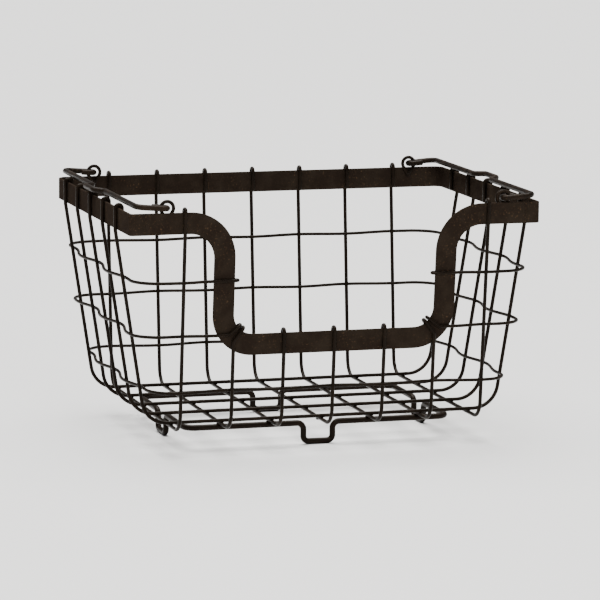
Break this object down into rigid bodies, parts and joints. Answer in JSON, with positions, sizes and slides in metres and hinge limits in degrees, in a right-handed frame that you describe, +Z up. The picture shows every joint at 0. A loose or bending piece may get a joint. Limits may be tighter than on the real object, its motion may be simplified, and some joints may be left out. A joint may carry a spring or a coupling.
{
  "type": "wire basket",
  "caption": "Rectangular wire basket with leaning walls, a scooped front strip, folding side handles and a stacking foot frame.",
  "frame": {"origin": "centre of the outer box at ground level, under the feet", "axes": "+Z up, +X to the basket's right seen from the front, front with the scoop faces -Y"},
  "size_m": [0.3332, 0.2397, 0.1995],
  "materials": {
    "strip": "dark bronze paint with rusty-brown speckle, satin",
    "wire": "near-black bronze paint, satin",
    "handle": "dark bronze paint rubbed lighter, satin"
  },
  "bodies": {
    "basket": {"rim_band": "strip", "scoop_band": "strip", "front_back_wire_1": "wire", "front_back_wire_2": "wire", "front_back_wire_3": "wire", "front_back_wire_4": "wire", "front_back_wire_5": "wire", "front_back_wire_6": "wire", "front_back_wire_7": "wire", "side_wire_1": "wire", "side_wire_2": "wire", "side_wire_3": "wire", "side_wire_4": "wire", "side_wire_5": "wire", "woven_wire_upper": "wire", "woven_wire_middle": "wire", "woven_wire_lower_left": "wire", "woven_wire_lower_right": "wire", "handle_eye_front_left": "handle", "handle_eye_back_left": "handle", "handle_eye_front_right": "handle", "handle_eye_back_right": "handle", "foot_frame": "wire"},
    "left_handle": {"handle_left": "handle"},
    "right_handle": {"handle_right": "handle"}
  },
  "joints": [
    {"name": "left_handle_hinge", "type": "hinge", "parent": "basket", "child": "left_handle", "pos_m": [-0.133, 0, 0.1934], "axis": [0, 1, 0], "range_deg": [0, 160]},
    {"name": "right_handle_hinge", "type": "hinge", "parent": "basket", "child": "right_handle", "pos_m": [0.133, 0, 0.1934], "axis": [0, -1, 0], "range_deg": [0, 160]}
  ]
}
